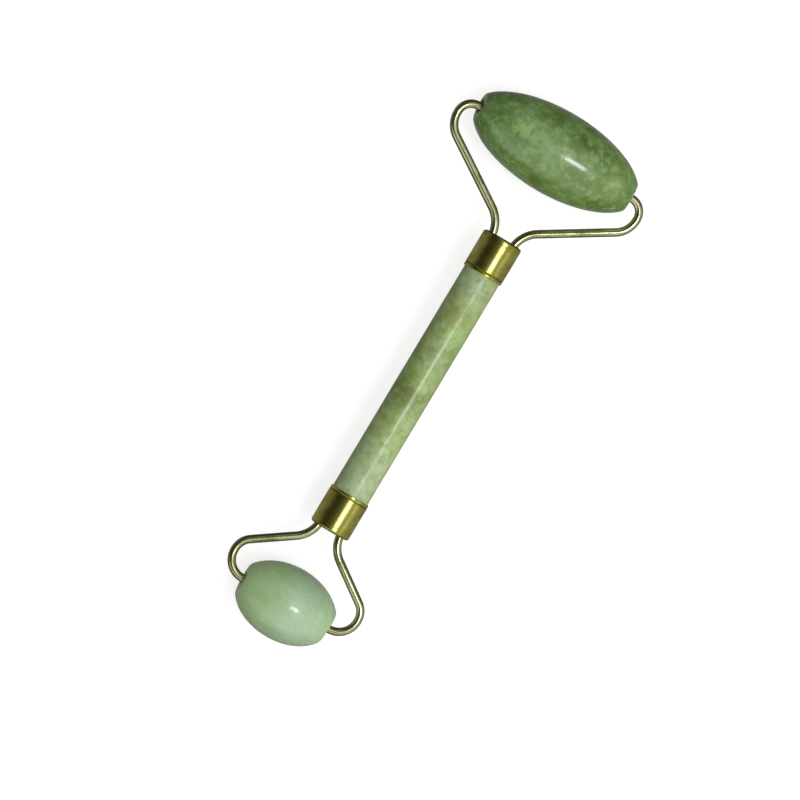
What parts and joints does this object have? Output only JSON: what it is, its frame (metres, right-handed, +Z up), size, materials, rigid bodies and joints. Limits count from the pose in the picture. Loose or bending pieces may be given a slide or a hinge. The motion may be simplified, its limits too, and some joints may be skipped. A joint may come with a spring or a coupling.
{
  "type": "face roller",
  "caption": "Double-ended jade face roller: a stone handle with brass ferrules and a barrel-shaped stone roller in a sprung wire fork at each end.",
  "frame": {"origin": "on the table that the roller lies on, below the middle of its overall length", "axes": "+Y towards the large roller, +X along the roller axles, +Z up from the table"},
  "size_m": [0.0522, 0.1448, 0.0203],
  "materials": {
    "handle_jade": "polished",
    "large_roller_jade": "polished",
    "small_roller_jade": "polished",
    "ferrule_brass": "polished",
    "fork_wire": "polished",
    "adhesive": "satin",
    "bush_plastic": "satin"
  },
  "bodies": {
    "handle": {"handle": "handle_jade", "large_ferrule": "ferrule_brass", "small_ferrule": "ferrule_brass", "large_fork": "fork_wire", "small_fork": "fork_wire", "large_ferrule_adhesive": "adhesive", "small_ferrule_adhesive": "adhesive"},
    "large_roller": {"large_roller": "large_roller_jade", "large_roller_bush_left": "bush_plastic", "large_roller_bush_right": "bush_plastic"},
    "small_roller": {"small_roller": "small_roller_jade", "small_roller_bush_left": "bush_plastic", "small_roller_bush_right": "bush_plastic"}
  },
  "joints": [
    {"name": "large_roller_spin", "type": "hinge", "parent": "handle", "child": "large_roller", "pos_m": [0, 0.06227, 0.01015], "axis": [1, 0, 0], "continuous": true},
    {"name": "small_roller_spin", "type": "hinge", "parent": "handle", "child": "small_roller", "pos_m": [0, -0.06322, 0.0092], "axis": [1, 0, 0], "continuous": true}
  ]
}
